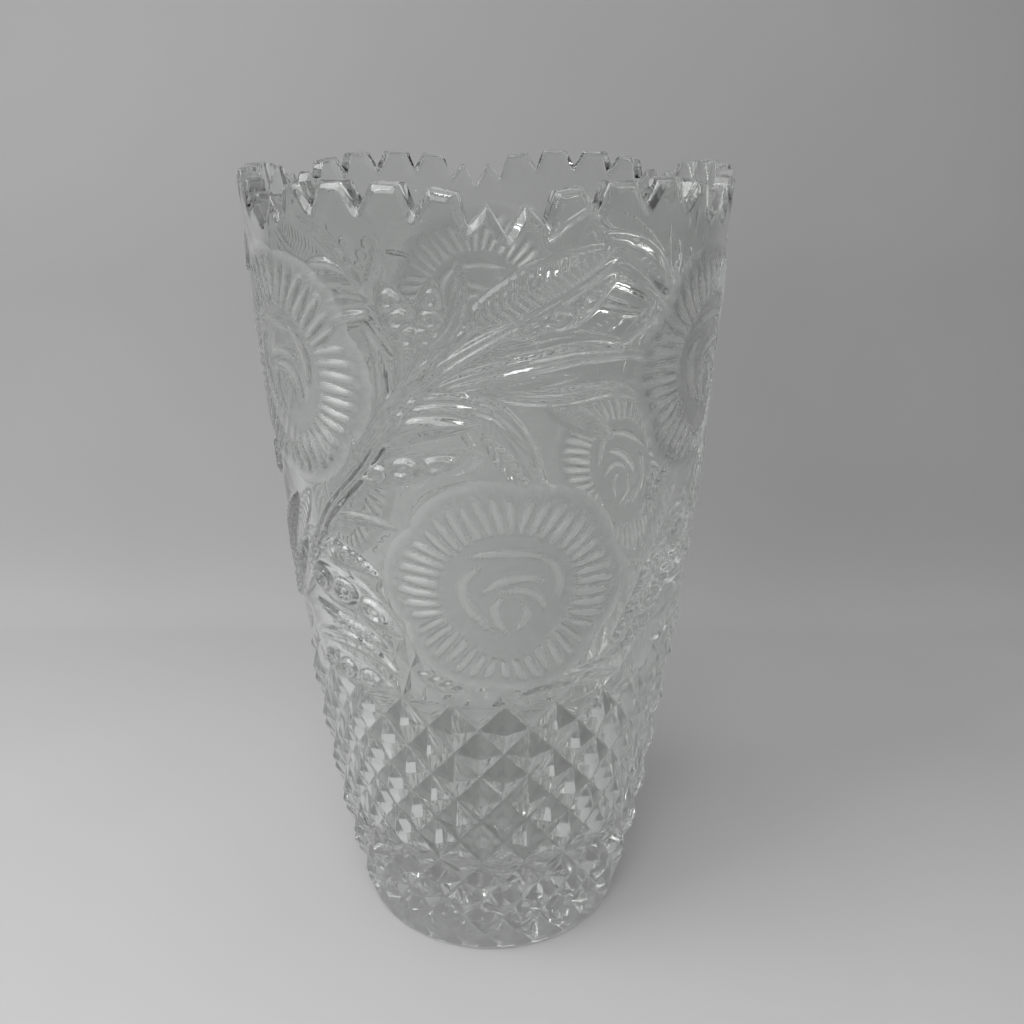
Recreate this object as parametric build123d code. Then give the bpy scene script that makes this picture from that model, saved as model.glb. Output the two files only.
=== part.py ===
from build123d import *

import os
from math import cos, exp, radians, sin

# A cut crystal vase: one heavy glass vessel with a thick foot, a band of cut diamonds, a band of
# roses and leaves raised on the wall, and a sawtooth rim. The glass is a single piece. Each node
# below is one region of it, as a cutter would name it, and the regions meet face to face.
# Millimetres, +Z up, origin at the centre of the resting face. The front (-Y) is at angle 0,
# and angles run towards +X.

# --- driving dimensions ---
HEIGHT = 250.0            # resting face to the tallest teeth
RIM_RADIUS = 71.3         # outside of the rim, the widest place
RIM_WALL = 6.0            # glass thickness at the rim
LOWER_WALL = 10.5         # glass thickness at the bottom of the cavity
FLOOR_THICKNESS = 27.0    # solid glass under the cavity
FLOOR_CORNER = 19.0       # radius between the cavity's floor and its wall
FOOT_CHAMFER = 1.5        # bevel round the resting face

DIAMONDS_AROUND = 24      # diamonds in one row
DIAMOND_ROWS = 10         # rows of diamonds, each one shifted half a diamond from the next
DIAMOND_PITCH = 9.0       # height from one row to the next
DIAMOND_TOP = 105.0       # where the diamonds end and the flower band starts
DIAMOND_DEPTH = 2.9       # point of a diamond to the groove beside it
FOOT_INSET = 1.3          # points of the diamonds to the smooth edge of the foot

RELIEF = 1.8              # how far roses and leaves stand above the clear wall
RELIEF_FADE = 12          # power of height with which the relief dies away at the rim
LOW_SHARE = 0.75          # height of leaves and outer petals, as a share of the relief
LOWER_BOUNDARY = 46.0     # where the foot region ends, above the cavity's corner
RIM_BOUNDARY = 235.0      # where the sawtooth region starts, below the deepest notch

SCALLOPS = 6              # waves round the rim
SCALLOP_ANGLE = 360.0 / SCALLOPS

ROSE_COUNT = 3            # roses in each of the two staggered rows
LOW_ROSE_HEIGHT = 146.0   # centre of a low rose
HIGH_ROSE_HEIGHT = 202.0  # centre of a high rose
ROSE_DISC_RADIUS = 18.5   # smooth swirled centre
ROSE_RUFFLE_RADIUS = 26.5  # mean radius of the ribbed outer petals
ROSE_RUFFLE_WAVE = 2.0    # how far the outer petals swing in and out
ROSE_PETALS = 6

# Half of one scallop, from its low point to its middle: angle, and depth below HEIGHT. The
# other half is its mirror image. Notches are sharp and the tall teeth are flat on top.
HALF_SCALLOP = [
    (0.0, 11.8), (3.7, 4.4), (7.6, 9.3), (9.4, 2.0), (15.0, 0.9),
    (18.4, 6.5), (20.6, 0.0), (26.8, 0.0), (30.0, 6.0),
]
FIRST_TOOTH = HALF_SCALLOP[3:5]

# Leaves and stem of one spray: angle and height of the middle, length, width, tilt from level.
LEAVES = [
    (-43.5, 167.0, 44.0, 4.0, 56.0),     # stem, in three reaches
    (-23.5, 197.0, 42.0, 4.5, 46.0),
    (5.5, 220.0, 53.0, 5.0, 25.0),
    (13.0, 228.0, 31.0, 8.0, 24.0),      # feather leaf at the tip
    (8.0, 213.0, 34.0, 8.0, 16.0),       # leaves below the stem
    (5.5, 206.0, 50.0, 5.0, 9.0),
    (14.0, 199.0, 34.0, 6.0, 4.0),
    (-9.0, 193.0, 28.0, 6.0, -12.0),     # curled blade and its hook
    (4.0, 184.0, 17.0, 4.0, -65.0),
    (-20.0, 181.0, 35.0, 8.0, 25.0),
    (-36.0, 158.0, 30.0, 6.0, 12.0),
    (-31.0, 203.0, 26.0, 6.0, 75.0),     # leaves round the high rose
    (-23.0, 219.0, 22.0, 8.0, 68.0),
    (-36.0, 229.0, 20.0, 5.0, 155.0),
    (-43.5, 134.0, 36.0, 11.0, -14.0),   # broad leaves beside the low rose
    (-43.5, 113.5, 30.0, 8.0, -6.0),
    (45.0, 151.0, 38.0, 9.0, 46.0),
    (25.0, 123.0, 40.0, 8.0, 42.0),
    (9.0, 110.5, 16.0, 4.0, 10.0),
]


def envelope(z):
    """Outside radius of the vase at height z, over the points of its cut pattern."""
    t = z / HEIGHT
    barrel = 0.30 * (1 - t) ** 1.6
    tuck = 0.062 * exp(-t / 0.092)
    return RIM_RADIUS * (1 - barrel - tuck)


def clear_wall(z):
    """Outside radius of the plain glass, behind the roses and leaves by the height of the relief."""
    return envelope(z) - RELIEF * (1 - (z / HEIGHT) ** RELIEF_FADE)


def cavity(z):
    """Inside radius at height z: the wall thins evenly from the foot to the rim."""
    t = (z - FLOOR_THICKNESS) / (HEIGHT - FLOOR_THICKNESS)
    return envelope(z) - LOWER_WALL + (LOWER_WALL - RIM_WALL) * t


def steps(low, high, count):
    """count + 1 evenly spaced heights from low to high."""
    return [low + (high - low) * i / count for i in range(count + 1)]


def turned(edges):
    """A solid of revolution from a closed outline in the XZ plane."""
    outline = make_face(Wire(edges))
    return revolve(outline, axis=Axis.Z)


def ring(low, high, outer, inner, bands=6):
    """A ring between two smooth profiles, each a function of height."""
    heights = steps(low, high, bands)
    outside = [(outer(z), 0, z) for z in heights]
    inside = [(inner(z), 0, z) for z in heights]
    return turned([
        Spline(*outside).edge(),
        Line(outside[-1], inside[-1]).edge(),
        Spline(*inside).edge(),
        Line(inside[0], outside[0]).edge(),
    ])


def cavity_core(top):
    """The space inside the vase, as a solid, up to a given height."""
    corner_top = FLOOR_THICKNESS + FLOOR_CORNER
    wall = cavity(corner_top)
    heights = steps(corner_top, top, 8)
    side = [(cavity(z), 0, z) for z in heights]
    corner_start = (wall - FLOOR_CORNER, 0, FLOOR_THICKNESS)
    return turned([
        Line((0, 0, FLOOR_THICKNESS), corner_start).edge(),
        TangentArc(corner_start, side[0], tangent=(1, 0, 0)).edge(),
        Spline(*side).edge(),
        Line(side[-1], (0, 0, top)).edge(),
        Line((0, 0, top), (0, 0, FLOOR_THICKNESS)).edge(),
    ])


def polar(radius, angle, z):
    """A point at an angle from the front, towards +X."""
    return (radius * sin(radians(angle)), -radius * cos(radians(angle)), z)


def diamond_body():
    """The lower body as a closed faceted solid: pyramids over a diagonal lattice of grooves."""
    columns = 2 * DIAMONDS_AROUND
    column_angle = 360.0 / columns
    heights = [DIAMOND_TOP - row * DIAMOND_PITCH for row in range(DIAMOND_ROWS + 2)]
    last = len(heights) - 1

    def corner(column, row):
        z = heights[row]
        if row == 0:
            radius = clear_wall(z)
        elif row == last:
            radius = envelope(z) - FOOT_INSET
        elif (column + row) % 2 == 0:
            radius = envelope(z) - DIAMOND_DEPTH
        else:
            radius = envelope(z)
        return Vector(*polar(radius, column_angle * (column % columns), z))

    def foot(column, z, inset):
        radius = envelope(heights[last]) - FOOT_INSET - inset
        return Vector(*polar(radius, column_angle * (column % columns), z))

    faces = []
    for column in range(columns):
        for row in range(last):
            here, beside = corner(column, row), corner(column + 1, row)
            below, across = corner(column, row + 1), corner(column + 1, row + 1)
            if (column + row) % 2 == 0:
                faces += [(here, across, beside), (here, below, across)]
            else:
                faces += [(here, below, beside), (beside, below, across)]
        low, next_low = corner(column, last), corner(column + 1, last)
        edge, next_edge = foot(column, FOOT_CHAMFER, 0), foot(column + 1, FOOT_CHAMFER, 0)
        rest, next_rest = foot(column, 0, FOOT_CHAMFER), foot(column + 1, 0, FOOT_CHAMFER)
        faces += [(low, edge, next_edge, next_low), (edge, rest, next_rest, next_edge)]
    faces.append([corner(column, 0) for column in range(columns)])
    faces.append([foot(column, 0, FOOT_CHAMFER) for column in range(columns)])
    return Solid(Shell([Face(Wire.make_polygon(points)) for points in faces]))


def lower_regions():
    """The foot and the diamond band: the faceted body, hollowed and divided at one height."""
    body = diamond_body() - cavity_core(DIAMOND_TOP + 10)
    boundary = Plane.XY.offset(LOWER_BOUNDARY)
    foot = split(body, bisect_by=boundary, keep=Keep.BOTTOM)
    band = split(body, bisect_by=boundary, keep=Keep.TOP)
    return foot, band


def on_wall(angle, z, radius=RIM_RADIUS - 22):
    """An upright plane at a place inside the wall, facing outwards, with its y axis up."""
    return Plane(origin=polar(radius, angle, z), x_dir=polar(1, angle + 90, 0),
                 z_dir=polar(1, angle, 0))


def notch(left, bottom, right):
    """A cutter through the rim: from one tooth's corner down to a sharp bottom and up again."""
    middle = bottom[0]
    clearance = 5.0

    def across(point):
        angle, depth = point
        return (RIM_RADIUS * sin(radians(angle - middle)), -depth)

    def above(point, lean):
        return (across(point)[0] + lean, clearance)

    outline = [above(left, -0.5), across(left), across(bottom), across(right), above(right, 0.5)]
    return extrude(on_wall(middle, HEIGHT) * make_face(Polyline(*outline, close=True)), amount=30)


def sawtooth_rim():
    """The top of the wall, cut all round into scallops of flat-topped and pointed teeth."""
    blank = ring(RIM_BOUNDARY, HEIGHT, clear_wall, cavity, bands=3)
    mirrored = [(-angle, depth) for angle, depth in reversed(HALF_SCALLOP[1:])]
    wave = mirrored + HALF_SCALLOP
    cutters = []
    for before, point, after in zip(wave, wave[1:], wave[2:]):
        if point[1] > before[1] and point[1] > after[1]:
            cutters.append(notch(before, point, after))
    # The middle of the scallop is a notch shared by two waves.
    last, middle = HALF_SCALLOP[-2], HALF_SCALLOP[-1]
    cutters.append(notch(last, middle, (2 * middle[0] - last[0], last[1])))
    # The first tall tooth slopes down towards the low point, so its top is cut along that line.
    inner, outer = FIRST_TOOTH
    halfway = ((inner[0] + outer[0]) / 2, (inner[1] + outer[1]) / 2)
    cutters.append(notch(inner, halfway, outer))
    cutters.append(mirror(cutters[-1], about=Plane.YZ))
    return blank - [
        Rot(0, 0, SCALLOP_ANGLE * turn) * cutter for turn in range(SCALLOPS) for cutter in cutters
    ]


def wall_skin(share):
    """A thin shell on the clear wall, a share of the relief thick, for a motif to be cut from."""
    def outside(z):
        return clear_wall(z) + share * (envelope(z) - clear_wall(z))
    return ring(DIAMOND_TOP, RIM_BOUNDARY, outside, clear_wall)


def rose(z, tall, low):
    """One rose at the front: a round swirled centre inside a lower ring of ruffled petals."""
    petal = 360.0 / ROSE_PETALS
    count = ROSE_PETALS * 6
    ruffle = []
    for i in range(count):
        angle = 360.0 * i / count
        swing = cos(radians(360.0 * (angle % petal) / petal))
        radius = ROSE_RUFFLE_RADIUS - ROSE_RUFFLE_WAVE * swing
        ruffle.append((radius * cos(radians(angle)), radius * sin(radians(angle))))
    place = on_wall(0, z)
    outer = extrude(place * make_face(Spline(*ruffle, periodic=True)), amount=30)
    centre = extrude(place * Circle(ROSE_DISC_RADIUS), amount=30)
    return (outer & low) + (centre & tall)


def leaf(angle, z, length, width, tilt):
    """One pointed leaf, as a column through the wall: two arcs that meet at the tips."""
    tips = [(-length / 2, 0), (length / 2, 0)]
    upper = ThreePointArc(tips[0], (0, width / 2), tips[1])
    lower = ThreePointArc(tips[1], (0, -width / 2), tips[0])
    return extrude(on_wall(angle, z) * Rot(0, 0, tilt) * make_face([upper, lower]), amount=30)


def leaf_spray(skin):
    """The leaves between one low rose and the high roses beside it, joined where they cross."""
    leaves = [leaf(*place) & skin for place in LEAVES]
    spray = leaves[0]
    for other in leaves[1:]:
        spray = spray + other
    return spray


def turned_copy(shape, turn):
    """The same motif, a third of the way round the vase for each turn."""
    return Rot(0, 0, turn * 360.0 / ROSE_COUNT) * shape


def build():
    """Every region of the vase by name."""
    foot, band = lower_regions()
    parts = {
        "heavy_base": foot,
        "diamond_band": band,
        "flower_wall": ring(DIAMOND_TOP, RIM_BOUNDARY, clear_wall, cavity),
        "sawtooth_rim": sawtooth_rim(),
    }
    tall_skin = wall_skin(1.0)
    low_skin = wall_skin(LOW_SHARE)
    low_rose = rose(LOW_ROSE_HEIGHT, tall_skin, low_skin)
    high_rose = Rot(0, 0, 180) * rose(HIGH_ROSE_HEIGHT, tall_skin, low_skin)
    high_roses = [turned_copy(high_rose, turn) for turn in range(ROSE_COUNT)]
    spray = leaf_spray(low_skin) - [low_rose] - high_roses
    for turn in range(ROSE_COUNT):
        parts[f"rose_low_{turn + 1}"] = turned_copy(low_rose, turn)
        parts[f"rose_high_{turn + 1}"] = turned_copy(high_rose, turn)
        parts[f"leaf_spray_{turn + 1}"] = turned_copy(spray, turn)
    return parts


os.makedirs("parts", exist_ok=True)
for name, shape in build().items():
    export_step(shape, f"parts/{name}.step")
    box = shape.bounding_box()
    print(f"{name}: {shape.volume / 1000:.1f} cm3, z {box.min.Z:.1f} to {box.max.Z:.1f}")
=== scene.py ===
"""Cut crystal vase: the finished glass, its frosted roses, and a plain studio round it.

The vase is one piece of glass, so its surface is worked out as a whole: a diamond-cut foot and
band, a flower wall raised from a relief map, a toothed rim and a smooth cavity. The closed skin
is then divided into one piece for each named region, and the pieces meet edge to edge, so light
passes from the outside to the cavity through glass with nothing in between.
"""
import logging
import math
from dataclasses import dataclass, field
from enum import Enum
from typing import Iterable, Optional

import bpy
import numpy as np
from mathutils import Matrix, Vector


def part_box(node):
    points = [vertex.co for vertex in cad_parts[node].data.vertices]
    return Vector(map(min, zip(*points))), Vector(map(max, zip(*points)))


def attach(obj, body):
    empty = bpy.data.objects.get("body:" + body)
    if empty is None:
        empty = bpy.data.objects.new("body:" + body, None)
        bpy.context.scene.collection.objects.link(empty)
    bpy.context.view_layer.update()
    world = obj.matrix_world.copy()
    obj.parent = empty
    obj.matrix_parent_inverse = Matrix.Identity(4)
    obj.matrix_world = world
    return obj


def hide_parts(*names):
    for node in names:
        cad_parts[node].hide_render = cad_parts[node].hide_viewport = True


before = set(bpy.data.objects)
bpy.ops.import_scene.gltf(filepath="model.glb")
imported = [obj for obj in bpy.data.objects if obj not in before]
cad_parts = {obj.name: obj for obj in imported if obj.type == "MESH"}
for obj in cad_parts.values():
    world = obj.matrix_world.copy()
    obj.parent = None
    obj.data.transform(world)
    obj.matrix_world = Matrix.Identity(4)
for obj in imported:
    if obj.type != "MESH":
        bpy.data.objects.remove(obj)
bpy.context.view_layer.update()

log = logging.getLogger("crystal_vase")

MM = 0.001
HALF_TURN = 180.0
FULL_TURN = 360.0
COPIES = 3                       # times that the flower pattern repeats round the vase
THIRD = FULL_TURN / COPIES


class Region(Enum):
    """The named regions of the glass that aren't motifs."""

    BASE = "heavy_base"
    DIAMONDS = "diamond_band"
    WALL = "flower_wall"
    RIM = "sawtooth_rim"


class Cut(Enum):
    """How a blade or leaf is worked across its width."""

    HOLLOW = "a glossy ribbon with raised edges"
    REEDED = "rounded strands side by side"
    KEELED = "a roof with one sharp midrib"
    FEATHER = "fine slanting strokes from the midrib"
    FACETED = "coarse chevron facets"
    EYED = "a plain leaf with oval rings"


@dataclass(frozen=True)
class VaseForm:
    """The profile of the glass, in metres, worked out from the frame.

    Args:
        height: resting face to the tallest teeth.
        rim_radius: outside of the rim.
        floor: thickness of solid glass under the cavity.
        corner: radius between the cavity's floor and wall.
        lower_wall: glass thickness at the bottom of the cavity.
        rim_wall: glass thickness at the rim.
        relief: how far the highest motifs stand above the clear wall.
        relief_fade: power of height with which the relief dies away at the rim.
        taper: how much narrower the foot is than the rim, as a share of the radius.
        taper_power: power with which the taper grows downwards.
        tuck: how far the wall draws in at the foot, as a share of the radius.
        tuck_reach: height over which the tuck dies away, as a share of the height.
    """

    height: float
    rim_radius: float
    floor: float = 27.0 * MM
    corner: float = 19.0 * MM
    lower_wall: float = 10.5 * MM
    rim_wall: float = 6.0 * MM
    relief: float = 1.8 * MM
    relief_fade: float = 12.0
    taper: float = 0.30
    taper_power: float = 1.6
    tuck: float = 0.062
    tuck_reach: float = 0.092

    @classmethod
    def from_frame(cls) -> "VaseForm":
        """Takes the height and the rim's radius from the frame.

        Returns:
            The form of this vase.
        """
        low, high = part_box(Region.RIM.value)
        return cls(height=high.z, rim_radius=(high.x - low.x) / 2)

    def envelope(self, z: np.ndarray) -> np.ndarray:
        """Outside radius over the points of the cut pattern at height z.

        Args:
            z: heights in metres.

        Returns:
            Radii in metres.
        """
        t = np.asarray(z) / self.height
        taper = self.taper * np.power(np.clip(1 - t, 0, 1), self.taper_power)
        return self.rim_radius * (1 - taper - self.tuck * np.exp(-t / self.tuck_reach))

    def step(self, z: np.ndarray) -> np.ndarray:
        """Height of the relief at height z; it dies away towards the rim."""
        return self.relief * (1 - np.power(np.asarray(z) / self.height, self.relief_fade))

    def clear_wall(self, z: np.ndarray) -> np.ndarray:
        """Outside radius of the plain glass between motifs at height z."""
        return self.envelope(z) - self.step(z)

    def cavity(self, z: np.ndarray) -> np.ndarray:
        """Inside radius at height z, above the cavity's rounded corner."""
        t = (np.asarray(z) - self.floor) / (self.height - self.floor)
        return self.envelope(z) - self.lower_wall + (self.lower_wall - self.rim_wall) * t


@dataclass(frozen=True)
class RimOutline:
    """The sawtooth edge: six scallops, each mirrored about its low point.

    Args:
        height: top of the tallest teeth.
        scallops: waves round the rim.
        bevel_width: width of the bevel along the outside of the teeth.
        bevel_depth: how far the bevel cuts back at the edge.
        half_scallop: angle from a low point and depth below the top, up to the scallop's middle.
    """

    height: float
    scallops: int = 6
    bevel_width: float = 2.2 * MM
    bevel_depth: float = 1.3 * MM
    half_scallop: tuple[tuple[float, float], ...] = (
        (0.0, 11.8), (3.7, 4.4), (7.6, 9.3), (9.4, 2.0), (15.0, 0.9),
        (18.4, 6.5), (20.6, 0.0), (26.8, 0.0), (30.0, 6.0),
    )

    def folded(self, angle: np.ndarray) -> np.ndarray:
        """An angle measured from the nearest low point of the outline."""
        wave = FULL_TURN / self.scallops
        return np.abs((np.asarray(angle) + wave / 2) % wave - wave / 2)

    def top(self, angle: np.ndarray) -> np.ndarray:
        """Height of the edge at each angle.

        Args:
            angle: angles in degrees from the front.

        Returns:
            Heights in metres.
        """
        angles, depths = zip(*self.half_scallop)
        return self.height - np.interp(self.folded(angle), angles, depths) * MM

    def bevel(self, angle: np.ndarray, z: np.ndarray, radius: float) -> np.ndarray:
        """How far the bevel on the outside of the teeth sets the glass back.

        Args:
            angle: angles in degrees from the front.
            z: heights in metres.
            radius: the rim's radius.

        Returns:
            Distances in metres.
        """
        x, y = np.radians(self.folded(angle)) * radius, z - self.height
        corners = [(math.radians(a) * radius, -depth * MM) for a, depth in self.half_scallop]
        nearest = np.full(x.shape, 1.0)
        for (x0, y0), (x1, y1) in zip(corners, corners[1:]):
            run, climb = x1 - x0, y1 - y0
            t = np.clip(((x - x0) * run + (y - y0) * climb) / (run ** 2 + climb ** 2), 0, 1)
            nearest = np.minimum(nearest, np.hypot(x - x0 - t * run, y - y0 - t * climb))
        return self.bevel_depth * np.clip(1 - nearest / self.bevel_width, 0, 1)


def smooth(value: np.ndarray) -> np.ndarray:
    """A smooth step: 0 below 0, 1 above 1."""
    t = np.clip(value, 0.0, 1.0)
    return t * t * (3 - 2 * t)


def zigzag(value: np.ndarray) -> np.ndarray:
    """A triangle wave from 0 to 1 and back with each whole step of value."""
    return 1 - np.abs((value % 1.0) * 2 - 1)


@dataclass
class ReliefMap:
    """The height of the pattern over the flower wall, as a share of the full relief.

    The motifs fill in each point's rise, frosting and owner, where the owner is a number in names; the
    frosting is higher on raised parts, so it also places painted highlight and painted shade.

    Args:
        form: the vase's profile.
        angles: angle of each column of the map, in degrees.
        heights: height of each point, rows by columns, in metres.
    """

    form: VaseForm
    angles: np.ndarray
    heights: np.ndarray
    rise: np.ndarray = field(init=False)
    frost_and_light: np.ndarray = field(init=False)
    owner: np.ndarray = field(init=False)
    names: list[str] = field(init=False)

    def __post_init__(self) -> None:
        """Starts with bare clear wall."""
        self.rise = np.zeros(self.heights.shape)
        self.frost_and_light = np.zeros(self.heights.shape)
        self.owner = np.zeros(self.heights.shape, dtype=int)
        self.names = [Region.WALL.value]

    def owner_index(self, name: str) -> int:
        """The number that marks faces of a named piece, made on first use."""
        if name not in self.names:
            self.names.append(name)
        return self.names.index(name)

    def window(self, angle: float, z: float, reach: float) -> Optional[tuple]:
        """The part of the map near a place.

        Args:
            angle: angle of the place, in degrees.
            z: height of the place.
            reach: how far the window extends each way, in metres.

        Returns:
            Index arrays for rows and columns, with each point's offset along and up the wall, or
            None where the place is off the map.
        """
        radius = float(self.form.envelope(z))
        offset = (self.angles - angle + HALF_TURN) % FULL_TURN - HALF_TURN
        columns = np.nonzero(np.abs(np.radians(offset)) * radius < reach)[0]
        middle = self.heights.mean(axis=1)
        rows = np.nonzero(np.abs(middle - z) < reach)[0]
        if not len(rows) or not len(columns):
            return None
        index = np.ix_(rows, columns)
        along = np.broadcast_to(np.radians(offset[columns]) * radius, (len(rows), len(columns)))
        return index, along, self.heights[index] - z

    def stamp(self, index: tuple, rise: np.ndarray, mask: np.ndarray, owner: str,
              frost_and_light: Optional[np.ndarray] = None) -> None:
        """Raises the map where a motif stands above what is there.

        Args:
            index: the window's rows and columns.
            rise: the motif's height over the window, from 0 to 1.
            mask: where the motif is.
            owner: name of the piece that the motif belongs to.
            frost_and_light: how frosted the motif is, from 0 to 1; higher on raised parts, so it also
                sets a painted highlight there and painted shade in the hollows.
        """
        higher = mask & (rise > self.rise[index])
        self.rise[index] = np.where(higher, rise, self.rise[index])
        self.owner[index] = np.where(mask, self.owner_index(owner), self.owner[index])
        if frost_and_light is not None:
            self.frost_and_light[index] = np.maximum(self.frost_and_light[index], np.where(mask, frost_and_light, 0.0))


@dataclass(frozen=True)
class Blade:
    """One stroke of the leaf spray: a curved blade or leaf on the wall.

    Args:
        route: angle in degrees and share of the vase's height, from root to tip.
        width: greatest width, in millimetres.
        rise: height, as a share of the relief.
        cut: how it is worked.
        pitch: length of one facet or stroke along it, in millimetres.
        root: power of its swelling from the root; small is blunt.
        tip: power of its taper to the tip.
        strands: strands side by side, where it is reeded.
    """

    route: tuple[tuple[float, float], ...]
    width: float
    rise: float
    cut: Cut
    pitch: float = 3.0
    root: float = 0.6
    tip: float = 0.8
    strands: int = 2

    SOFT_EDGE = 1.2 * MM             # width over which a blade rises from the wall
    LEAST_HALF = 1e-6                # half width at the very ends, so nothing is divided by 0
    VALLEY = 0.30                    # height of a ribbon's hollow and of the gaps between strands
    KEEL_FALL = 0.75                 # how far a keeled blade falls from midrib to edge
    EYES = (0.22, 0.47, 0.74)        # places of the ringed ovals along an eyed leaf

    def line(self, form: VaseForm, samples: int = 28) -> np.ndarray:
        """The middle line, as points along and up the wall from the route's own middle.

        Args:
            form: the vase's profile.
            samples: points along the line.

        Returns:
            Points in metres, one row each.
        """
        angle, z = self.centre(form)
        radius = float(form.envelope(z))
        points = np.array([
            (math.radians(a - angle) * radius, share * form.height - z) for a, share in self.route
        ])
        padded = np.vstack([2 * points[0] - points[1], points, 2 * points[-1] - points[-2]])
        spans = len(points) - 1
        result = []
        for place in np.linspace(0, spans, samples):
            span = min(int(place), spans - 1)
            t = place - span
            before, start, end, after = padded[span:span + 4]
            result.append(0.5 * (
                2 * start + (end - before) * t
                + (2 * before - 5 * start + 4 * end - after) * t ** 2
                + (3 * start - before - 3 * end + after) * t ** 3
            ))
        return np.array(result)

    def centre(self, form: VaseForm) -> tuple[float, float]:
        """Angle and height of the middle of the route's box."""
        angles, shares = zip(*self.route)
        return (min(angles) + max(angles)) / 2, (min(shares) + max(shares)) / 2 * form.height

    def press(self, relief: ReliefMap, turn: int) -> None:
        """Raises the blade on the relief map, a third of the way round for each turn.

        Args:
            relief: the map to press into.
            turn: which copy this is, from 0.
        """
        form = relief.form
        angle, z = self.centre(form)
        line = self.line(form)
        reach = np.abs(line).max() + self.width * MM
        found = relief.window(angle + turn * THIRD, z, reach)
        if found is None:
            return
        index, x, y = found
        nearest = np.full(x.shape, np.inf)
        place, side = np.zeros(x.shape), np.zeros(x.shape)
        lengths = np.linalg.norm(np.diff(line, axis=0), axis=1)
        starts = np.concatenate([[0.0], np.cumsum(lengths)])
        for start, end, length, run in zip(line, line[1:], lengths, starts):
            across = end - start
            t = np.clip(((x - start[0]) * across[0] + (y - start[1]) * across[1]) / length ** 2, 0, 1)
            dx, dy = x - start[0] - t * across[0], y - start[1] - t * across[1]
            distance = np.hypot(dx, dy)
            closer = distance < nearest
            nearest = np.where(closer, distance, nearest)
            place = np.where(closer, run + t * length, place)
            side = np.where(closer, np.sign(across[0] * dy - across[1] * dx), side)
        total = starts[-1]
        t = place / total
        peak = self.root / (self.root + self.tip)
        swell = t ** self.root * (1 - t) ** self.tip
        swell /= peak ** self.root * (1 - peak) ** self.tip
        half = np.maximum(swell * self.width * MM / 2, self.LEAST_HALF)
        u = nearest / half
        inside = u < 1
        edge = smooth((half - nearest) / self.SOFT_EDGE)
        height = self.worked(u, place / (self.pitch * MM), half / (self.width * MM / 2), side, t)
        relief.stamp(index, self.rise * height * edge, inside, f"leaf_spray_{turn + 1}")

    def worked(self, u: np.ndarray, strokes: np.ndarray, fullness: np.ndarray,
               side: np.ndarray, t: np.ndarray) -> np.ndarray:
        """The height across the blade, from 0 to 1.

        Args:
            u: distance from the middle line, as a share of the half width.
            strokes: distance along the blade, in facets.
            fullness: half width here, as a share of the greatest.
            side: which side of the middle line, 1 or -1.
            t: distance along the blade, from 0 to 1.

        Returns:
            The height at each point.
        """
        if self.cut is Cut.HOLLOW:
            return self.VALLEY + (1 - self.VALLEY) * u ** 2
        if self.cut is Cut.REEDED:
            across = (side * u + 1) / 2
            return self.VALLEY + (1 - self.VALLEY) * np.sin(np.pi * across * self.strands) ** 2
        if self.cut is Cut.KEELED:
            return 1.0 - self.KEEL_FALL * u
        if self.cut is Cut.FEATHER:
            slant, low, thinning = 1.3, 0.45, 0.3
            return low + (1 - low) * zigzag(strokes - slant * u * fullness) * (1 - thinning * u)
        if self.cut is Cut.FACETED:
            slant, stagger, low, midrib, fall = 0.8, 0.25, 0.15, 0.9, 3.0
            chevron = zigzag(strokes - slant * u + stagger * side)
            return np.maximum(low + (1 - low) * chevron, midrib - fall * u)
        low, lip, length, breadth = 0.25, 0.4, 7.0, 1.3
        oval, line_width, pupil = 0.62, 0.22, 0.2
        ring = np.zeros(u.shape)
        for middle in self.EYES:
            reach = np.hypot((t - middle) * length, u * breadth)
            ring = np.maximum(ring, np.exp(-((reach - oval) / line_width) ** 2))
            ring = np.maximum(ring, np.exp(-(reach / pupil) ** 2))
        return low + (1 - low) * ring + lip * smooth((u - 0.8) / 0.2) * (1 - ring)


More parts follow.
